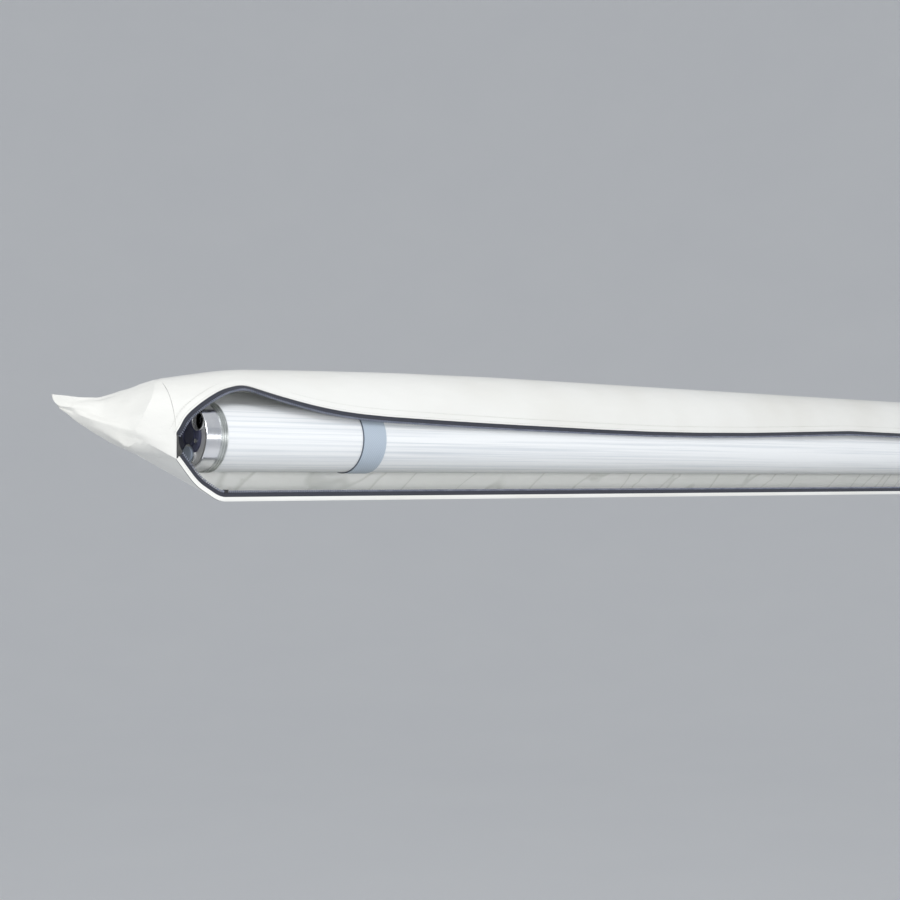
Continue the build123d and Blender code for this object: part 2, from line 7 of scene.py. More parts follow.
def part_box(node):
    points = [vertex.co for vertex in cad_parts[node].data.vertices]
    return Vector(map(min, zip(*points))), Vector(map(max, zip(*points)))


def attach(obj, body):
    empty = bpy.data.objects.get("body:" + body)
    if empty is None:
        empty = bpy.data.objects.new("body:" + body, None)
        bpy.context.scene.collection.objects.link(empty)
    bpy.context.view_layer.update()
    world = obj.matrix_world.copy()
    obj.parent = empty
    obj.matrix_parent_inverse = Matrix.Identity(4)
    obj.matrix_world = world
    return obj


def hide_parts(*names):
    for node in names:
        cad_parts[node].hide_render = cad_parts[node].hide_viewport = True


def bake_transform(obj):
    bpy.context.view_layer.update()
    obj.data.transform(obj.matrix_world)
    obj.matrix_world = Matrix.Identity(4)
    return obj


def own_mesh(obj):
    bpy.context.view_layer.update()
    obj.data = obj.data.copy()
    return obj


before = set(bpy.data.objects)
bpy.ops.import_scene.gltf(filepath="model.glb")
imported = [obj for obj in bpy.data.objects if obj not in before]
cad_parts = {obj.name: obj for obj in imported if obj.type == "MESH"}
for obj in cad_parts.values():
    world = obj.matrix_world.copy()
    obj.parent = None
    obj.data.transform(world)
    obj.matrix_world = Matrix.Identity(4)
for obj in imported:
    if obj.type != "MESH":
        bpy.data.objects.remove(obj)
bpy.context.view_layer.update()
mm = 0.001      # one millimetre in metres
inMm = 1000     # millimetres in a metre
print("frame loaded")

# Sizes read from the frame, in metres. Heights count from the roller axis, depths from the wall
collarLow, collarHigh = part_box("collar_left")
axisY = (collarLow.y + collarHigh.y) / 2
axisZ = (collarLow.z + collarHigh.z) / 2
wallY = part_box("back_panel")[1].y
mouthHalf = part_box("lip_corner_right")[1].x
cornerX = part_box("lip")[1].x
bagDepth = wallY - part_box("lip")[0].y
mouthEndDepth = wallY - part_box("tail_left")[0].y
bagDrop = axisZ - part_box("lip")[0].z
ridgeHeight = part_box("flap")[1].z - axisZ
rollRadius = (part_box("canopy_roll")[1].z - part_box("canopy_roll")[0].z) / 2
tubeRadius = (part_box("roller_tube")[1].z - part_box("roller_tube")[0].z) / 2
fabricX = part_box("canopy_roll")[1].x

bag = {
    "seamHeight": 74.0 * mm,      # where the cover is sewn to the back panel
    "ridgeDepth": 38.0 * mm,
    "curveStart": 18.0 * mm,      # height where the front starts to curve back
    "cornerHeight": -26.0 * mm,   # where the slanted corners end at the front
    "backRise": 5.0 * mm,         # how much higher they end at the wall
    "backShift": 62.0 * mm,       # how much sooner they start at the wall
    "cornerShift": 3.5 * mm,      # how much later they start at the front than the lip's solid ends
    "cornerTurn": 6.0 * mm,       # half the length of the soft turns in them
    "clothThickness": 0.9 * mm,
    "lipWidth": 5.0 * mm,
    "zipBand": 5.1 * mm,          # tape that shows between the cloth and the coil
    "hemWidth": 11.0 * mm,
    "droopTurnShare": 0.02,       # half the length over which the droop's kinks are rounded
    "edgeTurnShare": 0.008,       # the same for the mouth's edge
    "edgeEndTurnShare": 0.4,      # this rounding takes at most so much of the way to the mouth's end
    "evenShare": 0.15,            # the columns of the sheets are partly evenly spaced
    "crowdShare": 0.85,           # and partly crowd towards the ends, where the edge turns down
}

# Droop of the bag towards its ends, as shares of the mouth's half length and of the ridge height
droopShares = [
    (0.0, 0.0), (0.55, 0.0), (0.70, -0.022), (0.82, -0.062), (0.915, -0.105), (0.935, -0.145),
    (0.953, -0.18), (0.972, -0.222), (0.99, -0.248), (1.0, -0.285),
]
# Rise of the slanted corners, as shares of their width and height: at the lip and at the wall
lipCornerShares = [(-1.0, 0.0), (0.0, 0.0), (0.55, 0.38), (1.0, 1.0)]
wallCornerShares = [(-1.0, 0.0), (0.0, 0.0), (1.0, 1.0)]
# Upper edge of the mouth, as shares of the same two sizes as the droop. Most of it was fitted to the
# photograph by a program, then thinned and rounded. Its right end mirrors its left one
edgeEndShares = [
    (-1.0, 0.03), (-0.996, 0.11), (-0.990, 0.245), (-0.978, 0.372), (-0.964, 0.49), (-0.949, 0.588),
    (-0.933, 0.645), (-0.919, 0.68), (-0.90, 0.61), (-0.88, 0.545), (-0.857, 0.478), (-0.833, 0.419),
    (-0.807, 0.372), (-0.776, 0.336),
]
edgeMiddleShares = [
    (-0.739, 0.314), (-0.656, 0.287), (-0.544, 0.26), (-0.408, 0.235), (-0.315, 0.226), (-0.216, 0.234),
    (-0.109, 0.26), (0.005, 0.305), (0.13, 0.356), (0.234, 0.348), (0.40, 0.33), (0.60, 0.315), (0.72, 0.32),
]
edgeRightShares = [(-place, height) for place, height in reversed(edgeEndShares)]
edgeShares = edgeEndShares + edgeMiddleShares + edgeRightShares


def between(table, place):
    for (x0, v0), (x1, v1) in zip(table, table[1:]):
        if place <= x1:
            return v0 + (v1 - v0) * (place - x0) / (x1 - x0)
    return table[-1][1]


def eased(table, place, reach):
    # mean of the table over a short reach, which rounds its kinks
    steps = (-1.0, -0.5, 0.0, 0.5, 1.0)
    return sum(between(table, place + reach * step) for step in steps) / len(steps)


def smoothStep(low, high, value):
    t = min(1.0, max(0.0, (value - low) / (high - low)))
    return t * t * (3 - 2 * t)


def droopAt(x):
    share = abs(x) / mouthHalf
    return ridgeHeight * eased(droopShares, share, min(bag["droopTurnShare"], 1.0 - share))


def edgeHeight(x):
    share = x / mouthHalf
    reach = min(bag["edgeTurnShare"], bag["edgeEndTurnShare"] * (1.0 - abs(share)))
    return ridgeHeight * eased(edgeShares, share, reach)


def mouthDepth(x):
    narrowing = max(0.0, abs(x) - cornerX) / (mouthHalf - cornerX)
    return bagDepth - (bagDepth - mouthEndDepth) * narrowing


def bottomHeight(x, depthShare=1.0):
    # the underside, level and then rising over the slanted corners
    corner = cornerX + bag["cornerShift"] - bag["backShift"] * (1 - depthShare)
    ending = bag["cornerHeight"] + bag["backRise"] * (1 - depthShare)
    across = (abs(x) - corner) / (mouthHalf - corner)
    reach = min(bag["cornerTurn"] / (mouthHalf - corner), 1.0 - across)
    atLip, atWall = eased(lipCornerShares, across, reach), eased(wallCornerShares, across, reach)
    return -bagDrop + (ending + bagDrop) * (atWall + (atLip - atWall) * depthShare)


def onCover(x, height):
    # place on the cover's front, and the direction that it faces
    sag = droopAt(x)
    start = bag["curveStart"] + sag
    rise = ridgeHeight - bag["curveStart"]
    lean = asin(min(1.0, max(0.0, (height - start) / rise)))
    depth = bag["ridgeDepth"] + (mouthDepth(x) - bag["ridgeDepth"]) * cos(lean)
    facing = Vector((0, -cos(lean), sin(lean)))
    return Vector((x, wallY - depth, axisZ + height)), facing


def wave(x, y, z=0.0):
    return noise.noise(Vector((x, y, z)))


def waves(forms, along, across):
    # sum of waves, each given by its counts along, slanting and across, its place in the noise and its share
    total = 0.0
    for alongCount, slantCount, acrossCount, place, share in forms:
        total += wave(along * alongCount + across * slantCount, across * acrossCount, place) * share
    return total


def pleat(form, along, across):
    # narrow ridges that wander like the creases of folded cloth, 0 between them and 1 on their tops
    alongCount, slantCount, acrossCount, place, width = form
    height = abs(wave(along * alongCount + across * slantCount, across * acrossCount, place))
    return max(0.0, 1 - height / width) ** 2


def endFade(x, startShare):
    # 1 along the mouth, falling to 0 from a share of its half length to its end
    return 1 - smoothStep(startShare, 1.0, abs(x) / mouthHalf)


def deselectAll():
    if bpy.context.object and bpy.context.object.mode != "OBJECT":
        bpy.ops.object.mode_set(mode="OBJECT")
    bpy.ops.object.select_all(action="DESELECT")


def pick(piece):
    deselectAll()
    piece.select_set(True)
    bpy.context.view_layer.objects.active = piece


def applyAll(piece):
    pick(piece)
    for modifier in list(piece.modifiers):
        bpy.ops.object.modifier_apply(modifier=modifier.name)


def clothSheet(name, columns, rows, cut, placeAt, facing=None):
    # a grid whose points are placed one by one; cut is its flat size, which its UV map also shows
    deselectAll()
    bpy.ops.mesh.primitive_grid_add(x_subdivisions=columns, y_subdivisions=rows, size=1)
    piece = bpy.context.object
    piece.name = piece.data.name = name
    for vertex in piece.data.vertices:
        vertex.co = placeAt(vertex.co.x + 0.5, vertex.co.y + 0.5)
    for corner in piece.data.uv_layers.active.data:
        corner.uv = (corner.uv.x * cut[0], corner.uv.y * cut[1])
    if facing is not None:
        piece.data.update()
        mean = sum((face.normal * face.area for face in piece.data.polygons), Vector())
        if mean.dot(Vector(facing)) < 0:
            piece.data.flip_normals()
    return piece


def thicken(piece, thickness, outwards=False, smoothAngle=50):
    solid = piece.modifiers.new("Wall", "SOLIDIFY")
    solid.thickness = thickness
    solid.offset = 1.0 if outwards else -1.0
    applyAll(piece)
    pick(piece)
    bpy.ops.object.shade_smooth_by_angle(angle=radians(smoothAngle))


def copyAlong(name, template, places):
    # one mesh that holds a copy of the template at each place, a matrix
    vertices, faces = [], []
    points = [vertex.co.copy() for vertex in template.data.vertices]
    shapes = [tuple(face.vertices) for face in template.data.polygons]
    for place in places:
        first = len(vertices)
        vertices.extend(place @ point for point in points)
        faces.extend(tuple(first + index for index in shape) for shape in shapes)
    mesh = bpy.data.meshes.new(name)
    mesh.from_pydata(vertices, [], faces)
    piece = bpy.data.objects.new(name, mesh)
    bpy.context.scene.collection.objects.link(piece)
    bpy.data.objects.remove(template)
    pick(piece)
    bpy.ops.object.shade_smooth_by_angle(angle=radians(40))
    return piece


def framesAlong(path, facings, inwards, pitch):
    # matrices at even steps along a path: X along it, Y into the mouth, Z out of the cloth
    places, carried = [], 0.0
    for index in range(len(path) - 1):
        here, there = path[index], path[index + 1]
        run = (there - here).length
        while carried < run:
            t = carried / run
            spot = here.lerp(there, t)
            along = (there - here).normalized()
            out = facings[index].lerp(facings[index + 1], t)
            out = (out - along * out.dot(along)).normalized()
            side = out.cross(along) * inwards
            matrix = Matrix((along, side, out)).transposed().to_4x4()
            matrix.translation = spot
            places.append(matrix)
            carried += pitch
        carried -= run
    return places


# Colours and materials
def linear(code):
    channels = [int(code[i:i + 2], 16) / 255 for i in (1, 3, 5)]
    return [c / 12.92 if c <= 0.04045 else ((c + 0.055) / 1.055) ** 2.4 for c in channels] + [1.0]


def perMetre(size):
    return 1 / (size * mm)


def addNode(tree, kind, settings=None, links=None):
    node = tree.nodes.new(kind)
    for key, value in (settings or {}).items():
        if isinstance(key, int) or key in node.inputs:
            node.inputs[key].default_value = value
        else:
            setattr(node, key, value)
    for key, source in (links or {}).items():
        tree.links.new(source, node.inputs[key])
    return node


def newMaterial(name, roughness, metallic=0.0, ior=1.5):
    material = bpy.data.materials.new(name)
    material.use_nodes = True
    tree = material.node_tree
    shader = tree.nodes["Principled BSDF"]
    shader.inputs["Roughness"].default_value = roughness
    shader.inputs["Metallic"].default_value = metallic
    if metallic < 0.5:
        shader.inputs["IOR"].default_value = ior
    return material, tree, shader


def mixColours(tree, settings, links):
    # sockets 6 and 7 of a Mix node are its two colours, and output 2 is the mixed one
    return addNode(tree, "ShaderNodeMix", {"data_type": "RGBA", **settings}, links)


def twoTone(tree, shader, factor, light, dark):
    mixed = mixColours(tree, {6: linear(light), 7: linear(dark)}, {0: factor})
    tree.links.new(mixed.outputs[2], shader.inputs["Base Color"])
    return mixed


def noiseOf(tree, size, detail=3.0, stretch=(1, 1, 1), turn=(0, 0, 0), source="Object", kind="POINT"):
    spot = addNode(tree, "ShaderNodeTexCoord")
    scaled = addNode(
        tree, "ShaderNodeMapping", {"vector_type": kind, "Scale": stretch, "Rotation": turn},
        {"Vector": spot.outputs[source]},
    )
    return addNode(
        tree, "ShaderNodeTexNoise", {"Scale": perMetre(size), "Detail": detail}, {"Vector": scaled.outputs[0]}
    )


def spread(tree, source, low, high, toLow=0.0, toHigh=1.0):
    return addNode(
        tree, "ShaderNodeMapRange",
        {"From Min": low, "From Max": high, "To Min": toLow, "To Max": toHigh}, {"Value": source},
    )


def bumpFrom(tree, shader, heights):
    # heights: pairs of a socket and the depth of its relief in millimetres
    last = None
    for socket, depth in heights:
        bump = addNode(tree, "ShaderNodeBump", {"Strength": 1.0, "Distance": depth * mm}, {"Height": socket})
        if last:
            tree.links.new(last.outputs[0], bump.inputs["Normal"])
        last = bump
    tree.links.new(last.outputs[0], shader.inputs["Normal"])


def coatedCloth(name, light, dark, roughness, creaseShade=None):
    # PVC coated polyester, calendered: white, satin, with a fine cast grain and soft handling creases
    material, tree, shader = newMaterial(name, roughness, ior=1.53)
    patches = spread(tree, noiseOf(tree, 160, 2.0).outputs[0], 0.35, 0.7)
    mixed = twoTone(tree, shader, patches.outputs[0], light, dark)
    if creaseShade:
        # painted shade: thin slanting lines where the cloth was folded, greyer than the rest, standing in for
        # the shadows in its folds
        wander = noiseOf(tree, 30, 0.0, stretch=(1.0, 1.0, 9.0), turn=(0, radians(58), 0), kind="TEXTURE")
        offset = addNode(tree, "ShaderNodeMath", {"operation": "SUBTRACT", 1: 0.5}, {0: wander.outputs[0]})
        away = addNode(tree, "ShaderNodeMath", {"operation": "ABSOLUTE"}, {0: offset.outputs[0]})
        line = spread(tree, away.outputs[0], 0.004, 0.03, 0.4, 0.0)
        creaseShaded = mixColours(tree, {7: linear(creaseShade)}, {0: line.outputs[0], 6: mixed.outputs[2]})
        tree.links.new(creaseShaded.outputs[2], shader.inputs["Base Color"])
    grain = noiseOf(tree, 1.1, 2.0)
    creases = noiseOf(tree, 26, 4.0, stretch=(0.5, 1.0, 1.6), turn=(0, 0.5, 0))
    gloss = spread(tree, grain.outputs[0], 0.3, 0.7, roughness - 0.06, roughness + 0.08)
    tree.links.new(gloss.outputs[0], shader.inputs["Roughness"])
    bumpFrom(tree, shader, [(creases.outputs[0], 1.2), (grain.outputs[0], 0.06)])
    return material


def streakShadedCloth(name, light, dark):
    # solution dyed canopy cloth wound tight: white, with bluish streaks along the roll that are painted shade
    # of the wound turns' uneven surface
    material, tree, shader = newMaterial(name, 0.52, ior=1.5)
    broad = noiseOf(tree, 9, 3.0, stretch=(0.012, 1.0, 1.0), source="UV")
    fine = noiseOf(tree, 1.5, 3.0, stretch=(0.008, 1.0, 1.0), source="UV")
    both = addNode(
        tree, "ShaderNodeMath", {"operation": "MULTIPLY_ADD", 1: 0.55},
        {0: fine.outputs[0], 2: broad.outputs[0]},
    )
    # painted shade: bluish streaks along the roll
    streakShade = spread(tree, both.outputs[0], 0.74, 1.08)
    twoTone(tree, shader, streakShade.outputs[0], light, dark)
    weave = noiseOf(tree, 0.9, 1.0, source="UV")
    bumpFrom(tree, shader, [(both.outputs[0], 0.16), (weave.outputs[0], 0.05)])
    return material


def wovenTape(name, light, dark, thread, edge=None, width=0.0):
    # woven polyester tape: a herringbone of threads, matt; where an edge colour is named, painted shade
    # darkens the edge where its width starts, standing in for the tape's side and its shadow on the roll
    material, tree, shader = newMaterial(name, 0.72, ior=1.5)
    shader.inputs["Sheen Weight"].default_value = 0.15
    spot = addNode(tree, "ShaderNodeTexCoord")
    slant = addNode(
        tree, "ShaderNodeMapping", {"Rotation": (0, 0, radians(45))}, {"Vector": spot.outputs["UV"]}
    )
    threads = addNode(
        tree, "ShaderNodeTexWave",
        {"Scale": perMetre(thread) / 6.28, "Distortion": 1.2, "Detail": 1.0, "Detail Scale": 2.0},
        {"Vector": slant.outputs[0]},
    )
    mixed = twoTone(tree, shader, threads.outputs["Fac"], light, dark)
    if edge:
        # painted shade: a thin dark band along the edge where the tape's width starts
        parts = addNode(tree, "ShaderNodeSeparateXYZ", {}, {0: spot.outputs["UV"]})
        edgeShadeBand = spread(tree, parts.outputs[0], width * 0.02, width * 0.045)
        edgeShaded = mixColours(tree, {6: linear(edge)}, {0: edgeShadeBand.outputs[0], 7: mixed.outputs[2]})
        tree.links.new(edgeShaded.outputs[2], shader.inputs["Base Color"])
    bumpFrom(tree, shader, [(threads.outputs["Fac"], 0.12)])
    return material


def metalFinish(name, light, dark, roughness, brushed=None, scratch=0.02, metallic=1.0):
    # aluminium or steel: the brush marks and wear run the way that the tool went
    material, tree, shader = newMaterial(name, roughness, metallic=metallic)
    marks = noiseOf(tree, 1.4, 3.0, stretch=brushed or (1, 1, 1))
    wear = noiseOf(tree, 22, 4.0)
    toned = spread(tree, wear.outputs[0], 0.35, 0.7)
    twoTone(tree, shader, toned.outputs[0], light, dark)
    gloss = spread(tree, marks.outputs[0], 0.3, 0.7, max(0.04, roughness - 0.07), roughness + 0.09)
    tree.links.new(gloss.outputs[0], shader.inputs["Roughness"])
    bumpFrom(tree, shader, [(marks.outputs[0], scratch)])
    return material


def mouldedPlastic(name, light, dark, roughness, grain=0.8, depth=0.03):
    # injection moulded plastic with a fine spark-eroded grain
    material, tree, shader = newMaterial(name, roughness, ior=1.5)
    spots = noiseOf(tree, grain, 2.0)
    patches = spread(tree, noiseOf(tree, 18, 3.0).outputs[0], 0.35, 0.7)
    twoTone(tree, shader, patches.outputs[0], light, dark)
    gloss = spread(tree, spots.outputs[0], 0.3, 0.7, roughness - 0.06, roughness + 0.08)
    tree.links.new(gloss.outputs[0], shader.inputs["Roughness"])
    bumpFrom(tree, shader, [(spots.outputs[0], depth)])
    return material


def dress(target, material, slotName=None):
    target.data.materials.clear()
    target.data.materials.append(material)


whiteBag = coatedCloth("coatedPolyesterWhite", "#f1f1ed", "#e9e8e2", 0.40)
# the inside cloth carries painted shade along its fold lines
innerBag = coatedCloth("coatedPolyesterInside", "#fafbf9", "#f5f7f4", 0.48, creaseShade="#c3c6bf")
# the wound roll's bluish streaks are painted shade; the same cloth spread as the web gets almost none
canopyCloth = streakShadedCloth("canopyClothStreaked", "#f4f6f7", "#cdd3d9")
spreadCloth = streakShadedCloth("canopyClothSpread", "#f1f3f4", "#ebedef")
zipTapeCloth = wovenTape("zipTapePolyester", "#3b3e4b", "#24262f", 0.9)
# the strap's dark edge colour is painted shade of its side and of its shadow on the roll
strapWeb = wovenTape("strapPolyesterWeb", "#bcc8d4", "#a9b6c4", 1.1, edge="#4d5766", width=36 * mm)
threadWhite = mouldedPlastic("sewingThreadWhite", "#e6e6e2", "#d6d6d0", 0.6, 0.4, 0.05)
coilNylon = mouldedPlastic("zipCoilNylon", "#8b90a0", "#6f7486", 0.30, 0.5, 0.01)
print("materials ready")

# The flap: cloth from the wall seam over the ridge to the mouth's wavy edge
flapValues = {
    "columns": 300,
    "rows": 30,
    "cut": (2290 * mm, 132 * mm),
    "ripple": 1.1 * mm,       # long soft waves in the hanging front
    "rippleForms": [(7.0, 0.0, 1.5, 3.1, 0.8), (19.0, 0.0, 3.0, 7.7, 0.35)],
    "looseShares": (0.3, 0.8),    # where the ripple starts and is full, on the way down
    "fadeShare": 0.93,        # where ripple and hem start to fade, on the way to the mouth's end
    "hemStep": 0.5 * mm,
    "hemSlope": 1.2 * mm,
    "crown": 1.5 * mm,        # how much the top swells between seam and ridge
    "crownFadeShare": 0.9,
    "topSteps": 8,            # from the seam to the ridge
    "frontSteps": 24,         # from the ridge to where the front hangs straight
    "slack": 1e-9,            # rounding that is allowed where a length is looked up
}


def columnX(u):
    t = 2 * u - 1
    return mouthHalf * (bag["evenShare"] * t + bag["crowdShare"] * sin(t * pi / 2))


def coverSection(x, low):
    # places and facings from the wall seam to the edge, with the length walked so far
    sag = droopAt(x)
    seam = Vector((x, wallY, axisZ + bag["seamHeight"] + sag))
    ridge = Vector((x, wallY - bag["ridgeDepth"], axisZ + ridgeHeight + sag))
    slope = (seam - ridge).normalized()
    up = Vector((0, -slope.z, slope.y)) if slope.y > 0 else Vector((0, slope.z, -slope.y))
    points = []
    for step in range(flapValues["topSteps"] + 1):
        t = step / flapValues["topSteps"]
        lift = flapValues["crown"] * sin(pi * t) * endFade(x, flapValues["crownFadeShare"])
        points.append((seam.lerp(ridge, t) + up * lift, up))
    start = bag["curveStart"] + sag
    rise = ridgeHeight - bag["curveStart"]
    lowest = asin(min(1.0, max(0.0, (low - start) / rise)))
    for step in range(1, flapValues["frontSteps"] + 1):
        lean = pi / 2 + (lowest - pi / 2) * step / flapValues["frontSteps"]
        points.append(onCover(x, start + rise * sin(lean)))
    if low < start:
        points.append(onCover(x, low))
    lengths = [0.0]
    for (a, _), (b, _) in zip(points, points[1:]):
        lengths.append(lengths[-1] + (b - a).length)
    return points, lengths


sectionCache = {}


def onFlap(u, v):
    x = columnX(u)
    key = round(u, 6)
    if key not in sectionCache:
        sectionCache[key] = coverSection(x, edgeHeight(x))
    points, lengths = sectionCache[key]
    walked = v * lengths[-1]
    index = max(i for i in range(len(lengths) - 1) if lengths[i] <= walked + flapValues["slack"])
    t = (walked - lengths[index]) / (lengths[index + 1] - lengths[index])
    place = points[index][0].lerp(points[index + 1][0], t)
    out = points[index][1].lerp(points[index + 1][1], t).normalized()
    fade = endFade(x, flapValues["fadeShare"])
    loose = smoothStep(*flapValues["looseShares"], v)
    ripple = waves(flapValues["rippleForms"], x, v)
    fromEdge = lengths[-1] - walked
    hem = 1 - smoothStep(bag["hemWidth"] - flapValues["hemSlope"], bag["hemWidth"], fromEdge)
    lift = flapValues["ripple"] * ripple * loose * fade + flapValues["hemStep"] * hem * fade
    return place + out * lift


flapCloth = clothSheet(
    "flapCloth", flapValues["columns"], flapValues["rows"], flapValues["cut"], onFlap, facing=(0, -1, 1)
)
thicken(flapCloth, bag["clothThickness"])
dress(flapCloth, whiteBag, "bag_cloth")
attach(flapCloth, "bag")
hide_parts("flap")
print("flap done")

# The two zip halves: path along each edge of the mouth, its tape and its coil
zipValues = {
    "pitch": 2.6 * mm,
    "tooth": (1.2 * mm, 2.4 * mm, 2.3 * mm),
    "toothRounding": 0.35 * mm,
    "toothOverlap": 0.2 * mm,     # how far the teeth reach over the tape's edge
    "tapeThickness": 0.7 * mm,
    "tapeRows": 4,
    "tapeGap": 0.15 * mm,     # between the cloth and the tape behind it
    "hidden": 4.95 * mm,      # tape sewn behind the cloth
    "narrowShares": (0.955, 0.985),   # where the hidden tape narrows, on the way to the mouth's end
    "narrowing": 0.85,
    "stitchPitch": 3.2 * mm,
    "stitchSize": (2.1 * mm, 0.55 * mm, 0.4 * mm),
    "stitchRounding": 0.15 * mm,
    "stitchProud": 0.05 * mm,
    "flapStitches": (-2.2 * mm, -8.6 * mm),   # places of the rows, counted from the edge into the mouth
    "lipStitches": 3.7 * mm,
    "upperSteps": 700,
    "lowerSteps": 500,
}
upperPath, upperFacings = [], []
for step in range(zipValues["upperSteps"] + 1):
    share = step / zipValues["upperSteps"]
    x = columnX(share)
    upperPath.append(onFlap(share, 1.0))
    upperFacings.append(onCover(x, edgeHeight(x))[1])

lowerPath, lowerFacings = [], []
for step in range(zipValues["lowerSteps"] + 1):
    x = columnX(step / zipValues["lowerSteps"])
    lowerPath.append(Vector((x, wallY - mouthDepth(x), axisZ + bottomHeight(x))))
    lowerFacings.append(Vector((0, -1, 0)))


def bandAlong(name, path, facings, inwards, near, far, under, rows, cut, material):
    # a strip of tape that follows a path, between two distances into the mouth
    last = len(path) - 1
    frames = []
    for index in range(len(path)):
        before, after = path[max(0, index - 2)], path[min(last, index + 2)]
        along = (after - before).normalized()
        out = facings[index]
        out = (out - along * out.dot(along)).normalized()
        frames.append((path[index], out.cross(along) * inwards, out))

    def placeAt(u, v):
        spot, side, out = frames[round(u * last)]
        ending = smoothStep(*zipValues["narrowShares"], abs(spot.x) / mouthHalf)
        start = near * (1 - zipValues["narrowing"] * ending) if near < 0 else near
        return spot + side * (start + (far - start) * v) - out * under

    piece = clothSheet(name, last, rows, cut, placeAt, facing=(0, -1, 0))
    dress(piece, material)
    return piece


def boxTemplate(size, rounding, lift=(0, 0, 0)):
    deselectAll()
    bpy.ops.mesh.primitive_cube_add(size=1)
    template = bpy.context.object
    template.data.transform(Matrix.Translation(lift) @ Matrix.Diagonal((*size, 1)))
    pick(template)
    bpy.ops.object.mode_set(mode="EDIT")
    bpy.ops.mesh.select_all(action="SELECT")
    bpy.ops.mesh.bevel(offset=rounding, segments=1)
    bpy.ops.object.mode_set(mode="OBJECT")
    return template


def zipHalf(prefix, path, facings, inwards, edgeGap):
    # one half of the zip: its tape and its coil
    length = sum((b - a).length for a, b in zip(path, path[1:]))
    near = edgeGap - zipValues["hidden"]
    far = edgeGap + bag["zipBand"]
    under = bag["clothThickness"] + zipValues["tapeGap"]
    tape = bandAlong(
        prefix + "ZipTape", path, facings, inwards, near, far, under, zipValues["tapeRows"],
        (length, far - near), zipTapeCloth,
    )
    thicken(tape, zipValues["tapeThickness"])
    toothLong, toothWide, toothDeep = zipValues["tooth"]
    template = boxTemplate((toothLong, toothWide, toothDeep), zipValues["toothRounding"])
    middle = far + toothWide / 2 - zipValues["toothOverlap"]
    shift = Matrix.Translation((0, middle, -under - zipValues["tapeThickness"] / 2))
    places = [place @ shift for place in framesAlong(path, facings, inwards, zipValues["pitch"])]
    coil = copyAlong(prefix + "ZipCoil", template, places)
    dress(coil, coilNylon, "zip_coil")
    return tape, coil, length


def stitchRow(name, path, facings, inwards, offset):
    template = boxTemplate(zipValues["stitchSize"], zipValues["stitchRounding"])
    shift = Matrix.Translation((0, offset, zipValues["stitchProud"]))
    places = [place @ shift for place in framesAlong(path, facings, inwards, zipValues["stitchPitch"])]
    row = copyAlong(name, template, places)
    dress(row, threadWhite, "bag_cloth")
    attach(row, "bag")
    return row


upperTape, upperCoil, upperLength = zipHalf("upper", upperPath, upperFacings, -1, 0.0)
lowerTape, lowerCoil, lowerLength = zipHalf("lower", lowerPath, lowerFacings, 1, bag["lipWidth"])
for piece, node in (
    (upperTape, "upper_zip_tape"), (upperCoil, "upper_zip_coil"),
    (lowerTape, "lower_zip_tape"), (lowerCoil, "lower_zip_coil"),
):
    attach(piece, "bag")
    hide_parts(node)
flapStitches = [
    stitchRow("flapStitchesOuter", upperPath, upperFacings, -1, zipValues["flapStitches"][0]),
    stitchRow("flapStitchesInner", upperPath, upperFacings, -1, zipValues["flapStitches"][1]),
]
stitchRow("lipStitches", lowerPath, lowerFacings, 1, zipValues["lipStitches"])
print("zips done")

# Lip: the white binding folded over the lower tape, and the floor of the bag behind it
lipValues = {"rows": 8, "bulge": 0.5 * mm}
lipCut = (lowerLength, bag["lipWidth"] * 2)
lipStrip = bandAlong(
    "lipBinding", lowerPath, lowerFacings, 1, 0.0, bag["lipWidth"], 0.0, lipValues["rows"], lipCut, whiteBag,
)
for vertex in lipStrip.data.vertices:
    height = vertex.co.z - axisZ - bottomHeight(vertex.co.x)
    share = min(1.0, max(0.0, height / bag["lipWidth"]))
    vertex.co.y -= lipValues["bulge"] * sin(pi * share)
thicken(lipStrip, bag["clothThickness"])
dress(lipStrip, whiteBag, "bag_cloth")
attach(lipStrip, "bag")
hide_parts("lip", "lip_corner_left", "lip_corner_right")

floorValues = {
    "columns": 360,
    "rows": 26,
    "cut": (2316 * mm, 93 * mm),
    "edgeGap": 0.6 * mm,      # kept at the wall and at the mouth
    "rise": 0.1 * mm,
    "swell": 0.4 * mm,
    "sag": 0.8 * mm,
    "sagForms": [(26.0, 0.0, 2.2, 1.3, 1.0), (60.0, 5.0, 4.0, 9.1, 0.5)],
    "pleat": 1.5 * mm,
    "pleatForm": (9.0, 1.6, 0.8, 2.7, 0.12),
    "fadeShare": 0.93,
}


def onFloor(u, v):
    x = columnX(u)
    gap = floorValues["edgeGap"]
    depth = gap + (mouthDepth(x) - 2 * gap) * v
    fade = sin(pi * v) * endFade(x, floorValues["fadeShare"])
    lift = floorValues["sag"] * waves(floorValues["sagForms"], x, v) * fade
    lift += floorValues["pleat"] * pleat(floorValues["pleatForm"], x, v) * fade
    lift = floorValues["rise"] + max(0.0, lift + floorValues["swell"] * sin(pi * v))
    return Vector((x, wallY - depth, axisZ + bottomHeight(x, v) + lift))


floorCloth = clothSheet(
    "floorCloth", floorValues["columns"], floorValues["rows"], floorValues["cut"], onFloor, facing=(0, 0, -1)
)
thicken(floorCloth, bag["clothThickness"])
dress(floorCloth, whiteBag, "bag_cloth")
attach(floorCloth, "bag")
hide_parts("floor_panel", "floor_corner_left", "floor_corner_right")

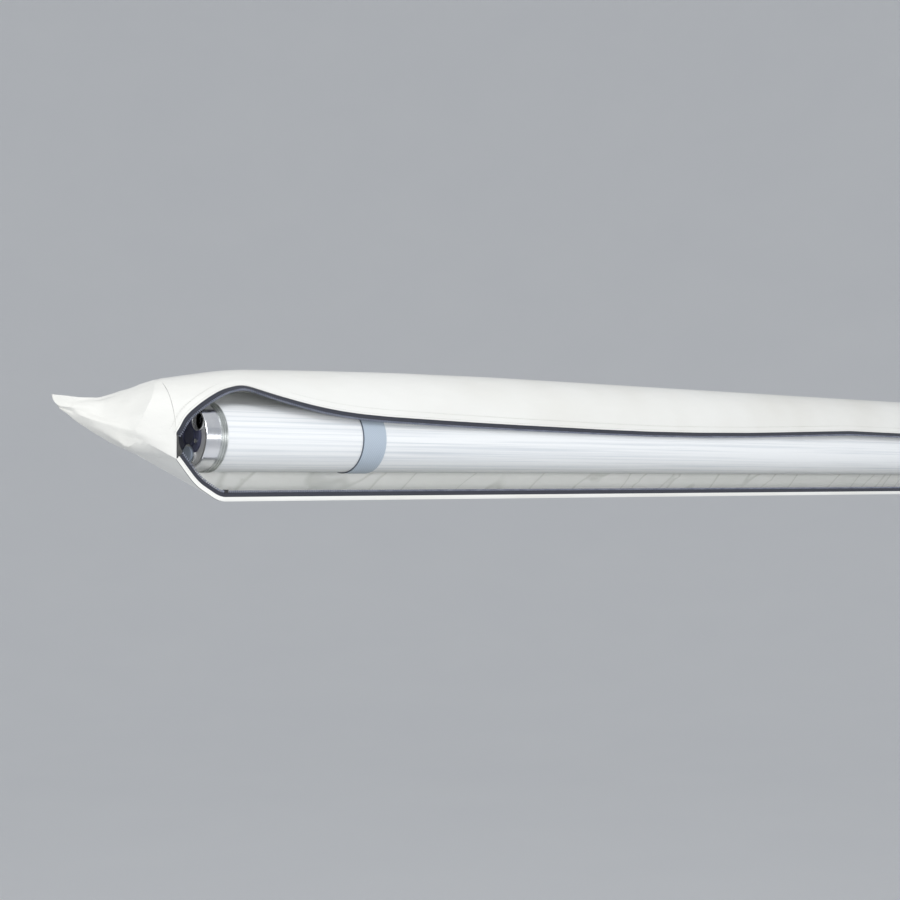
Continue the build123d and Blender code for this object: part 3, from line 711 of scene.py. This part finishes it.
# Back panel against the wall, with the crosswise wrinkles of cloth that was rolled up
backValues = {
    "columns": 420,
    "rows": 40,
    "cut": (2290 * mm, 146 * mm),
    "wallGap": 0.1 * mm,
    "seamGap": 1.0 * mm,      # from the sheet's top to the seam
    "wrinkle": 1.3 * mm,
    "wrinkleForms": [(34.0, 4.5, 2.0, 5.5, 1.0), (75.0, -8.0, 3.0, 2.4, 0.6)],
    "stand": 0.5,             # how many wrinkle heights the whole sheet stands off the wall
    "pleat": 2.0 * mm,
    "pleatForm": (11.0, 5.0, 1.4, 8.3, 0.10),
    "fadeShare": 0.95,
    "bottomFadeShare": 0.08,
    "topFadeShare": 0.9,
}


def onBack(u, v):
    x = columnX(u)
    low, high = bottomHeight(x, 0.0), bag["seamHeight"] + droopAt(x) - backValues["seamGap"]
    height = low + (high - low) * v
    fade = endFade(x, backValues["fadeShare"]) * smoothStep(0.0, backValues["bottomFadeShare"], v)
    fade *= 1 - smoothStep(backValues["topFadeShare"], 1.0, v)
    lift = backValues["wrinkle"] * (backValues["stand"] + waves(backValues["wrinkleForms"], x, v)) * fade
    lift += backValues["pleat"] * pleat(backValues["pleatForm"], x, v) * fade
    return Vector((x, wallY - backValues["wallGap"] - max(0.0, lift), axisZ + height))


backCloth = clothSheet(
    "backCloth", backValues["columns"], backValues["rows"], backValues["cut"], onBack, facing=(0, -1, 0)
)
thicken(backCloth, bag["clothThickness"], outwards=True)
dress(backCloth, innerBag, "bag_cloth")
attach(backCloth, "bag")
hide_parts("back_panel")
print("bag panels done")

# Folded ends of the bag. Rows go from the mouth to the flat tip; each point is along the tail,
# its depth from the wall and its height, in millimetres
tailValues = {
    "cut": (118 * mm, 300 * mm),
    "flat": (290 * mm, 113 * mm),     # girth at the mouth and length
    "areaShare": 0.6,         # the tail tapers, so it is less than that rectangle
    "smooth": 3,
    "smoothAngle": 11,
    "weld": 0.01 * mm,
    "crumple": 0.8 * mm,
    "longCrumple": (19, 13, 17),      # sizes along, across and up, in millimetres
    "shortCrumple": (8, 9, 7),
    "shortShare": 0.4,
    "mouthFade": 12.0,        # millimetres from the mouth where the crumples are full
    "tipFade": (70.0, 112.0),     # and where they start and stop to fade towards the tip
    "tipLoss": 0.6,
}
tailNet = [
    [(0, 0, -21), (0, 20, -22.2), (0, 40, -23.5), (0, 80, -26), (0, 80, -13), (0, 80, 0), (0, 77.9, 14.6),
     (0, 72, 34.1), (0, 62.7, 49.6), (0, 51, 59.6), (0, 46.7, 61.5), (0, 42.4, 62.6), (0, 38, 63),
     (0, 0, 49), (0, 0, 14)],
    [(24, 0, -11.5), (34, 22, -14.5), (40, 43, -15.6), (31, 55, -4), (34, 56, 1.5), (36, 54, 7), (30, 59, 20),
     (22, 59.5, 34), (14, 56, 47), (8, 48.5, 57), (6, 44.5, 59.5), (4.5, 41, 61.3), (3, 37.8, 62.5),
     (5, 0, 48), (15, 0, 12)],
    [(52, 0, 1), (45, 20, -8.2), (45, 40, -9), (52, 35.5, 3), (59, 31, 14), (60, 23, 20), (58, 20.5, 26),
     (56, 18, 31), (55, 15.5, 35), (54, 13, 38.5), (53.7, 11.5, 40), (53.3, 10, 41.2), (53, 9, 42),
     (56, 0, 42), (56, 0, 22)],
    [(78, 0, 15), (73, 8, 9.5), (75, 11.5, 12.5), (77, 14.5, 15.5), (78.4, 17.5, 18.7), (80, 12, 27),
     (79, 12.6, 29.5), (78, 12, 32), (76.5, 11, 34.2), (75, 10, 36.4), (78, 5.5, 38.5), (80, 4.8, 40.5),
     (81, 4, 42.2), (81, 0, 43), (80, 0, 28)],
    [(88, 0, 23), (86, 3.5, 20), (86.5, 5, 22), (87, 5.6, 24.5), (88, 4, 28.3), (89, 9, 30.3),
     (88.5, 9.3, 31), (87.7, 9.4, 31.7), (87, 9.3, 32.3), (86, 9, 33.2), (92, 4.4, 36), (93, 4.2, 40),
     (93, 3.6, 43), (93, 0, 43.5), (90, 0, 33)],
    [(96, 0, 27.2), (96.5, 1.2, 27.4), (97, 1.8, 27.8), (98, 2.2, 28.4), (99, 1.4, 29.4), (100.5, 3.8, 31),
     (100.7, 3.9, 31.2), (101, 4, 31.4), (101.2, 4.1, 31.6), (101.5, 4.2, 31.9), (106.5, 4.2, 35.5),
     (108.8, 3.8, 40.5), (108, 3, 44.2), (108, 0, 44.2), (104, 0, 36)],
]
# Folds of the tail: the first and last column and row that each one runs between, and how sharp it is
tailFolds = [
    (2, 1, 12, 1, 1.0), (5, 1, 5, 5, 1.0), (5, 0, 5, 1, 0.95), (3, 0, 3, 1, 1.0), (2, 1, 2, 2, 0.95),
    (2, 2, 4, 2, 0.9), (4, 2, 4, 5, 0.8), (9, 2, 9, 5, 0.85), (12, 0, 12, 5, 0.5), (0, 0, 0, 5, 0.8),
    (1, 1, 1, 5, 0.6), (13, 0, 13, 5, 0.7), (9, 2, 13, 2, 0.7), (0, 0, 14, 0, 1.0), (14, 0, 15, 0, 1.0),
    (0, 5, 14, 5, 1.0), (14, 5, 15, 5, 1.0),
]


def foldAt(column0, row0, column1, row1):
    # how sharp the fold between two neighbouring points of the net is
    around = len(tailNet[0])
    if {column0, column1} == {0, around - 1}:
        column0, column1 = around - 1, around
    low, high = min(column0, column1), max(column0, column1)
    first, last = min(row0, row1), max(row0, row1)
    hits = [
        value for c0, r0, c1, r1, value in tailFolds
        if c0 <= low and high <= c1 and r0 <= first and last <= r1
    ]
    return max(hits, default=0.0)


def crumpleAt(spot, sizes):
    return wave(spot.x / sizes[0], spot.y / sizes[1], spot.z / sizes[2])


def tailCloth(name, side, node):
    rows, around = len(tailNet) - 1, len(tailNet[0])

    def placeAt(u, v):
        along, depth, height = tailNet[round(v * rows)][round(u * around) % around]
        return Vector((side * (mouthHalf + along * mm), wallY - depth * mm, axisZ + height * mm))

    piece = clothSheet(name, around, rows, tailValues["cut"], placeAt)
    pick(piece)
    bpy.ops.object.mode_set(mode="EDIT")
    bpy.ops.mesh.select_all(action="SELECT")
    bpy.ops.mesh.remove_doubles(threshold=tailValues["weld"])
    bpy.ops.mesh.normals_make_consistent(inside=False)
    bpy.ops.object.mode_set(mode="OBJECT")
    creases = piece.data.attributes.new("crease_edge", "FLOAT", "EDGE")
    weld = tailValues["weld"]
    nets = {
        tuple(round(c / weld) for c in placeAt(column / around, row / rows)): (column, row)
        for column in range(around) for row in range(rows + 1)
    }
    for edge in piece.data.edges:
        ends = []
        for index in edge.vertices:
            spot = piece.data.vertices[index].co
            ends.append(nets[min(nets, key=lambda key: (Vector(key) * weld - spot).length)])
        (c0, r0), (c1, r1) = ends
        creases.data[edge.index].value = foldAt(c0, r0, c1, r1)
    smooth = piece.modifiers.new("Smooth", "SUBSURF")
    smooth.levels = smooth.render_levels = tailValues["smooth"]
    applyAll(piece)
    for vertex in piece.data.vertices:
        spot = vertex.co * inMm
        out = abs(spot.x) - mouthHalf * inMm
        fade = smoothStep(0.0, tailValues["mouthFade"], out)
        fade *= 1 - tailValues["tipLoss"] * smoothStep(*tailValues["tipFade"], out)
        lift = crumpleAt(spot, tailValues["longCrumple"])
        lift += tailValues["shortShare"] * crumpleAt(spot, tailValues["shortCrumple"])
        vertex.co += vertex.normal * (tailValues["crumple"] * lift * fade)
        vertex.co.y = min(vertex.co.y, wallY)
    thicken(piece, bag["clothThickness"], smoothAngle=tailValues["smoothAngle"])
    dress(piece, whiteBag, "bag_cloth")
    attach(piece, "bag")
    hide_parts(node)


tailCloth("tailClothLeft", -1, "tail_left")
tailCloth("tailClothRight", 1, "tail_right")
print("tails done")

# Keder tape between the bead and the seam
kederLow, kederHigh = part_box("keder_strip")
kederValues = {
    "cut": (kederHigh.x - kederLow.x, 10 * mm),
    "steps": (200, 6),
    "thickness": 0.9 * mm,
    "headDepth": 0.4 * mm,    # behind the bead's axis
    "headRise": 0.6 * mm,     # above the bead's lowest line
    "footGap": 0.1 * mm,
    "footRise": 0.2 * mm,
    "bulge": 0.5 * mm,
}
beadRadius = (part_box("keder_bead")[1].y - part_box("keder_bead")[0].y) / 2


def onStrip(u, v):
    x = kederLow.x + (kederHigh.x - kederLow.x) * u
    sag = droopAt(x)
    head = Vector((x, kederValues["headDepth"], sag - beadRadius + kederValues["headRise"]))
    footHeight = axisZ + bag["seamHeight"] + sag + kederValues["footRise"]
    foot = Vector((x, wallY - kederValues["footGap"], footHeight))
    return head.lerp(foot, v) + Vector((0, -kederValues["bulge"] * sin(pi * v), 0))


kederStrip = clothSheet("kederTape", *kederValues["steps"], kederValues["cut"], onStrip, facing=(0, -1, 0))
thicken(kederStrip, kederValues["thickness"])
dress(kederStrip, whiteBag, "keder")
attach(kederStrip, "bag")
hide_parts("keder_strip")

# The canopy: its wound turns on the tube, and the web that runs from the roll to the wall seam
canopyValues = {
    "turns": 8,
    "thickness": 0.42 * mm,
    "outerSteps": 84,         # steps round the turn that shows
    "innerSteps": 32,
    "columns": 56,
    "uneven": 0.12 * mm,      # how far the wound surface swells and dips
    "unevenForms": [(17.0, 0.0, 1.3, 4.2, 1.0), (41.0, 0.0, 2.1, 8.8, 0.6)],
    "tubeGap": 0.2 * mm,      # between the innermost turn and the tube
    "seamDrop": 3.2 * mm,     # how far below the wall seam the web starts
    "webSteps": (60, 24),
    "webWave": 0.25 * mm,
    "webForms": [(9.0, 0.0, 3.0, 6.1, 1.0)],
}
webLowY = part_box("canopy_web")[1].y
webRun = webLowY - axisY
webHigh = bag["seamHeight"] + droopAt(fabricX) - canopyValues["seamDrop"]
webReach = sqrt(webRun ** 2 + webHigh ** 2)
touchAngle = atan2(webHigh, webRun) + acos(rollRadius / webReach)


def rollPlace(x, angle, radius):
    return Vector((x, axisY + radius * cos(angle), axisZ + radius * sin(angle)))


rollPitch = (rollRadius - tubeRadius - canopyValues["tubeGap"]) / canopyValues["turns"]
rollSteps = canopyValues["outerSteps"] + (canopyValues["turns"] - 1) * canopyValues["innerSteps"]
rollLength = 2 * pi * canopyValues["turns"] * (rollRadius + tubeRadius) / 2


def onRoll(u, v):
    step = v * rollSteps
    outer = canopyValues["outerSteps"]
    turned = step / outer if step <= outer else 1 + (step - outer) / canopyValues["innerSteps"]
    x = fabricX * (2 * u - 1)
    radius = rollRadius - rollPitch * turned
    angle = touchAngle + 2 * pi * turned
    if turned < 1:
        swell = waves(canopyValues["unevenForms"], turned, x)
        radius += canopyValues["uneven"] * swell * sin(pi * turned)
    return rollPlace(x, angle, radius)


canopyRoll = clothSheet(
    "canopyRoll", canopyValues["columns"], rollSteps, (2 * fabricX, rollLength), onRoll
)
pick(canopyRoll)
topFace = min(canopyRoll.data.polygons, key=lambda face: -face.center.z - abs(face.center.x) * 0.01)
if topFace.normal.z < 0:
    canopyRoll.data.flip_normals()
thicken(canopyRoll, canopyValues["thickness"])
dress(canopyRoll, canopyCloth, "canopy_cloth")
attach(canopyRoll, "roller")
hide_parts("canopy_roll")

webLength = sqrt(webReach ** 2 - rollRadius ** 2)


def onWeb(u, v):
    x = fabricX * (2 * u - 1)
    top = Vector((x, webLowY, axisZ + webHigh))
    place = top.lerp(rollPlace(x, touchAngle, rollRadius), v)
    lift = canopyValues["webWave"] * waves(canopyValues["webForms"], x, v) * sin(pi * v)
    return place + Vector((0, 0, lift))


webCut = (2 * fabricX, webLength)
canopyWeb = clothSheet("canopyWeb", *canopyValues["webSteps"], webCut, onWeb, facing=(0, 0, 1))
thicken(canopyWeb, canopyValues["thickness"])
dress(canopyWeb, spreadCloth, "canopy_cloth")
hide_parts("canopy_web")
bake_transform(canopyWeb)
print("canopy done")

# Straps round the roll
strapValues = {
    "steps": (14, 110),
    "thickness": 0.8 * mm,
    "lift": 0.45 * mm,        # between the roll and the strap
    "ahead": radians(1.5),    # from the line where the web touches the roll to the strap's start
    "behind": radians(9),     # from the strap's end to that line
    "edgeDrop": 0.12 * mm,    # how far the two edges curl towards the roll
    "edgeShare": 0.06,
    "uneven": 0.1 * mm,
    "unevenForms": [(3.0, 0.0, 9.0, 1.7, 1.0)],
}


def strapBand(name, node):
    behind, ahead = strapValues["behind"], strapValues["ahead"]
    edgeShare = strapValues["edgeShare"]
    low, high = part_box(node)
    left, right = low.x, high.x
    radius = rollRadius + strapValues["lift"] + strapValues["thickness"]

    def placeAt(u, v):
        angle = touchAngle + ahead + (2 * pi - behind - ahead) * v
        edge = strapValues["edgeDrop"] * (smoothStep(edgeShare, 0.0, u) + smoothStep(1 - edgeShare, 1.0, u))
        lift = strapValues["uneven"] * waves(strapValues["unevenForms"], u, v) - edge
        return rollPlace(left + (right - left) * u, angle, radius + lift)

    cut = (right - left, 2 * pi * radius)
    piece = clothSheet(name, *strapValues["steps"], cut, placeAt)
    top = max(piece.data.polygons, key=lambda face: face.center.z)
    if top.normal.z < 0:
        piece.data.flip_normals()
    thicken(piece, strapValues["thickness"])
    dress(piece, strapWeb, "strap")
    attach(piece, "roller")
    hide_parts(node)


strapBand("strapLeft", "strap_left")
strapBand("strapRight", "strap_right")

# Finishes of the pieces that the frame holds
aluminiumTube = metalFinish("anodisedAluminiumTube", "#d3d5d8", "#bfc2c6", 0.30, brushed=(0.02, 1, 1))
collarPolish = metalFinish(
    "polishedAluminiumCollar", "#f8f8fa", "#eceef2", 0.17, brushed=(1, 0.05, 0.05), scratch=0.004
)
flangeFinish = metalFinish("castAluminiumFlange", "#d7dad8", "#bfc3c1", 0.34, scratch=0.02)
plateFinish = metalFinish("blastedAluminiumPlate", "#e4e4e4", "#d6d6d7", 0.55, metallic=0.65, scratch=0.01)
ferruleFinish = metalFinish("turnedAluminiumFerrule", "#fafafb", "#f0f1f2", 0.28, scratch=0.004, metallic=0.6)
screwFinish = metalFinish("zincPlatedSteelScrew", "#c2c4c6", "#a9abad", 0.28, scratch=0.01)
zipMetal = metalFinish("nickelPlatedZinc", "#c9c6bf", "#aba8a2", 0.22, scratch=0.006)
hubPlastic = mouldedPlastic("glassFilledNylonNavy", "#4d5069", "#3f4157", 0.36)
footPlastic = mouldedPlastic("nylonFootBlack", "#1d2026", "#15171c", 0.5)
plugPlastic = mouldedPlastic("polyethylenePlugBlueGrey", "#b6c1d1", "#a2aec0", 0.36)
guidePlastic = mouldedPlastic("acetalGuideBlack", "#26282c", "#1b1d20", 0.45)
kederPlastic = mouldedPlastic("extrudedVinylKeder", "#eceae4", "#dedcd5", 0.42)

finishes = {
    "roller_tube": (aluminiumTube, "tube"),
    "canopy_bead": (kederPlastic, None),
    "keder_bead": (kederPlastic, "keder"),
    "zip_slider": (zipMetal, "zip_metal"),
    "slider_pin": (zipMetal, "zip_metal"),
    "zip_puller": (zipMetal, "zip_metal"),
    "zip_stops": (guidePlastic, "zip_coil"),
}
for end in ("left", "right"):
    finishes.update({
        f"collar_{end}": (collarPolish, "collar"),
        f"flange_{end}": (flangeFinish, "collar"),
        f"end_plate_{end}": (plateFinish, "end_plate"),
        f"ferrules_{end}": (ferruleFinish, "ferrule"),
        f"end_hub_{end}": (hubPlastic, "hub"),
        f"hub_screws_{end}": (screwFinish, "screw"),
        f"pole_guides_{end}": (guidePlastic, "guide"),
        f"leg_tube_{end}": (aluminiumTube, "pole"),
        f"leg_inner_{end}": (aluminiumTube, "pole"),
        f"leg_foot_{end}": (footPlastic, "foot"),
        f"rafter_tube_{end}": (aluminiumTube, "pole"),
        f"rafter_inner_{end}": (aluminiumTube, "pole"),
        f"rafter_plug_{end}": (plugPlastic, "plug"),
    })
for nodeName, (material, slotName) in finishes.items():
    dress(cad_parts[nodeName], material, slotName)
print("finishes done")

# Rolled lips round the mouths of the four pole ferrules
lipOfFerrule = {"proud": 0.3 * mm, "thick": 0.75 * mm, "wall": 1.0 * mm, "steps": (72, 12)}


def ferruleLips(end, side):
    ferruleLow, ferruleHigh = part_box(f"ferrules_{end}")
    mouthX = (ferruleHigh.x if side > 0 else ferruleLow.x) + side * lipOfFerrule["proud"]
    lips = []
    for pole in ("leg_tube", "rafter_tube"):
        low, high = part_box(f"{pole}_{end}")
        centre = (low + high) / 2
        radius = ferruleRadius - lipOfFerrule["wall"] + lipOfFerrule["thick"]
        around, across = lipOfFerrule["steps"]
        deselectAll()
        bpy.ops.mesh.primitive_torus_add(
            location=(mouthX, centre.y, centre.z), rotation=(0, pi / 2, 0), major_segments=around,
            minor_segments=across, major_radius=radius, minor_radius=lipOfFerrule["thick"],
        )
        lips.append(bpy.context.object)
    for lip in lips:
        lip.select_set(True)
    bpy.ops.object.join()
    bpy.ops.object.transform_apply(location=True, rotation=True, scale=True)
    piece = bpy.context.object
    piece.name = piece.data.name = "ferruleLips" + end.capitalize()
    bpy.ops.object.shade_smooth_by_angle(angle=radians(60))
    dress(piece, ferruleFinish, "ferrule")
    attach(piece, "roller")


# the rafter's ferrule is the lower one, so its lowest point gives the radius
rafterLow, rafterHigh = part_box("rafter_tube_left")
ferruleRadius = (rafterLow.z + rafterHigh.z) / 2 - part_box("ferrules_left")[0].z
ferruleLips("left", -1)
ferruleLips("right", 1)
print("ferrule radius", round(ferruleRadius * inMm, 2), "mm")

# The flap, its zip tape and coil and its stitch rows each get a mesh of their own
for piece in (flapCloth, upperTape, upperCoil, *flapStitches):
    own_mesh(piece)

# Stage: a pale floor well below, soft light and the camera
stageValues = {
    "floorHeight": -2.2,         # an awning hangs about this high above the ground
    "flatRadius": 9.0,
    "sweepRadius": 12.0,
    "sweepAngle": radians(86),
    "cameraPlace": (-2.119, -1.5645, -0.133),
    "heading": radians(-42.9),
    "lens": 64.0,
    "shift": 0.0333,
    "sensor": 36.0,
    "clip": (0.05, 100.0),
    "floorSteps": (96, 40),
    "worldColour": "#dfe2e6",
    "worldStrength": 0.68,
}
# Lights: place, what each points at, its two sizes and its power in watts
lightValues = {
    "keyLight": ((-1.8, -2.2, 2.6), (-0.4, 0, -0.08), (2.4, 1.2), 32),
    "frontLight": ((-0.8, -3.0, -0.15), (-0.4, 0, -0.1), (3.6, 0.5), 37),
    "endLight": ((-4.7, -1.9, 1.45), (-1.1, 0, -0.08), (1.5, 1.5), 39),
}


def onFloorSweep(u, v):
    # a round floor whose rim sweeps up all round
    flat, sweep = stageValues["flatRadius"], stageValues["sweepRadius"]
    walked = v * (flat + sweep * stageValues["sweepAngle"])
    turned = max(0.0, walked - flat) / sweep
    radius = min(walked, flat) + sweep * sin(turned)
    height = stageValues["floorHeight"] + sweep * (1 - cos(turned))
    return Vector((radius * cos(2 * pi * u), radius * sin(2 * pi * u), height))


floor = clothSheet("studioFloor", *stageValues["floorSteps"], (1, 1), onFloorSweep, facing=(0, 0, 1))
pick(floor)
bpy.ops.object.shade_smooth()
floorPaint, floorTree, floorShader = newMaterial("paintedStudioFloor", 0.8)
twoTone(floorTree, floorShader, noiseOf(floorTree, 900, 2.0).outputs[0], "#eff0f1", "#ebecee")
floor.data.materials.append(floorPaint)

bpy.context.scene.view_settings.view_transform = "Standard"
world = bpy.context.scene.world or bpy.data.worlds.new("studioWorld")
bpy.context.scene.world = world
world.use_nodes = True
background = world.node_tree.nodes["Background"]
background.inputs[0].default_value = linear(stageValues["worldColour"])
background.inputs[1].default_value = stageValues["worldStrength"]


def softLight(name, place, target, size, power):
    lamp = bpy.data.lights.new(name, "AREA")
    lamp.shape = "RECTANGLE"
    lamp.size, lamp.size_y = size
    lamp.energy = power
    holder = bpy.data.objects.new(name, lamp)
    bpy.context.scene.collection.objects.link(holder)
    holder.location = place
    holder.rotation_euler = (Vector(target) - Vector(place)).to_track_quat("-Z", "Y").to_euler()


for lightName, values in lightValues.items():
    softLight(lightName, *values)

camera = bpy.data.objects.new("camera", bpy.data.cameras.new("camera"))
bpy.context.scene.collection.objects.link(camera)
camera.location = stageValues["cameraPlace"]
camera.rotation_euler = (pi / 2, 0, stageValues["heading"])
camera.data.lens = stageValues["lens"]
camera.data.sensor_width = stageValues["sensor"]
camera.data.shift_y = stageValues["shift"]
camera.data.clip_start, camera.data.clip_end = stageValues["clip"]
bpy.context.scene.camera = camera
print("stage done")

bpy.context.view_layer.update()
